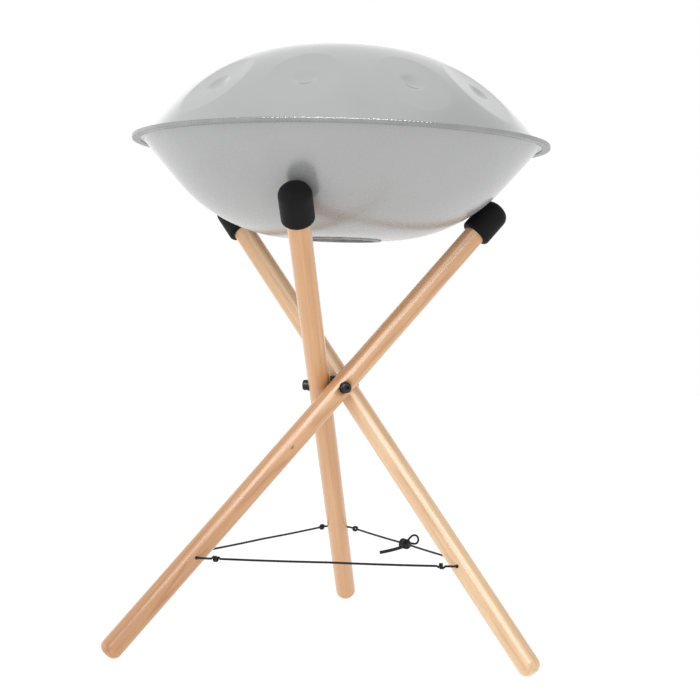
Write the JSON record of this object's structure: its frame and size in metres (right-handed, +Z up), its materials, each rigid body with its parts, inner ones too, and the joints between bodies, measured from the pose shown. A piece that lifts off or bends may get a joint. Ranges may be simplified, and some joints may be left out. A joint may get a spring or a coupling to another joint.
{
  "type": "handpan on a folding tripod stand",
  "caption": "Lens-shaped steel hand drum with a ring of dimpled tone fields, resting on the rubber-capped tops of a crossed-leg wooden folding stand tied with cord.",
  "frame": {"origin": "on the floor, on the stand's axis under the hub and the middle of the pan", "axes": "+Z up along the stand's and the pan's axis; +X to the side where the leg with the left foot has its top; -Y towards the leg top that stands in front of the pan"},
  "size_m": [0.5369, 0.5636, 0.7545],
  "materials": {
    "steel": "satin, light grey",
    "rim": "ribbed grey edging",
    "adhesive": "matte",
    "port_rubber": "matte",
    "wood": "clear-lacquered beech",
    "pad_rubber": "matte",
    "hardware": "black",
    "nylon": "natural",
    "cord": "braided"
  },
  "bodies": {
    "hub": {"hub_block": "hardware", "pivot_bolt_left": "hardware", "pivot_bolt_right": "hardware", "pivot_bolt_rear": "hardware", "pivot_washer_left": "hardware", "pivot_washer_right": "hardware", "pivot_washer_rear": "hardware", "cord_front": "cord", "cord_left": "cord", "cord_right_rear": "cord", "cord_right_front": "cord", "tie_knot": "cord", "tie_loop": "cord", "cord_tails": "cord"},
    "pan": {"upper_shell": "steel", "lower_shell": "steel", "rim_adhesive": "adhesive", "rim_trim": "rim", "port_trim": "port_rubber"},
    "leg_left": {"leg_left": "wood", "support_pad_left": "pad_rubber", "pivot_bush_left": "nylon", "cord_passage_left": "cord", "stopper_knots_left": "cord"},
    "leg_right": {"leg_right": "wood", "support_pad_right": "pad_rubber", "pivot_bush_right": "nylon", "cord_passage_right": "cord", "stopper_knots_right": "cord"},
    "leg_rear": {"leg_rear": "wood", "support_pad_rear": "pad_rubber", "pivot_bush_rear": "nylon", "cord_passage_rear": "cord", "stopper_knots_rear": "cord"}
  },
  "joints": [
    {"name": "pan_lift", "type": "slide", "parent": "hub", "child": "pan", "axis": [0, 0, 1], "range_m": [0, 0.36]},
    {"name": "leg_left_fold", "type": "hinge", "parent": "hub", "child": "leg_left", "pos_m": [0.00737, -0.01891, 0.328], "axis": [0.3633, -0.9317, 0], "range_deg": [0, 37], "deforming": ["cord_front", "cord_left"]},
    {"name": "leg_right_fold", "type": "hinge", "parent": "hub", "child": "leg_right", "pos_m": [0.01269, 0.01584, 0.328], "axis": [0.6252, 0.7804, 0], "range_deg": [0, 37], "deforming": ["cord_right_front", "tie_knot", "tie_loop", "cord_tails"]},
    {"name": "leg_rear_fold", "type": "hinge", "parent": "hub", "child": "leg_rear", "pos_m": [-0.02007, 0.00307, 0.328], "axis": [-0.9885, 0.1513, 0], "range_deg": [0, 37], "deforming": ["cord_right_rear"]}
  ],
  "couplings": [
    {"joint": "leg_left_fold", "follows": "pan_lift", "rad_per_m": 1.793},
    {"joint": "leg_right_fold", "follows": "pan_lift", "rad_per_m": 1.793},
    {"joint": "leg_rear_fold", "follows": "pan_lift", "rad_per_m": 1.793}
  ]
}
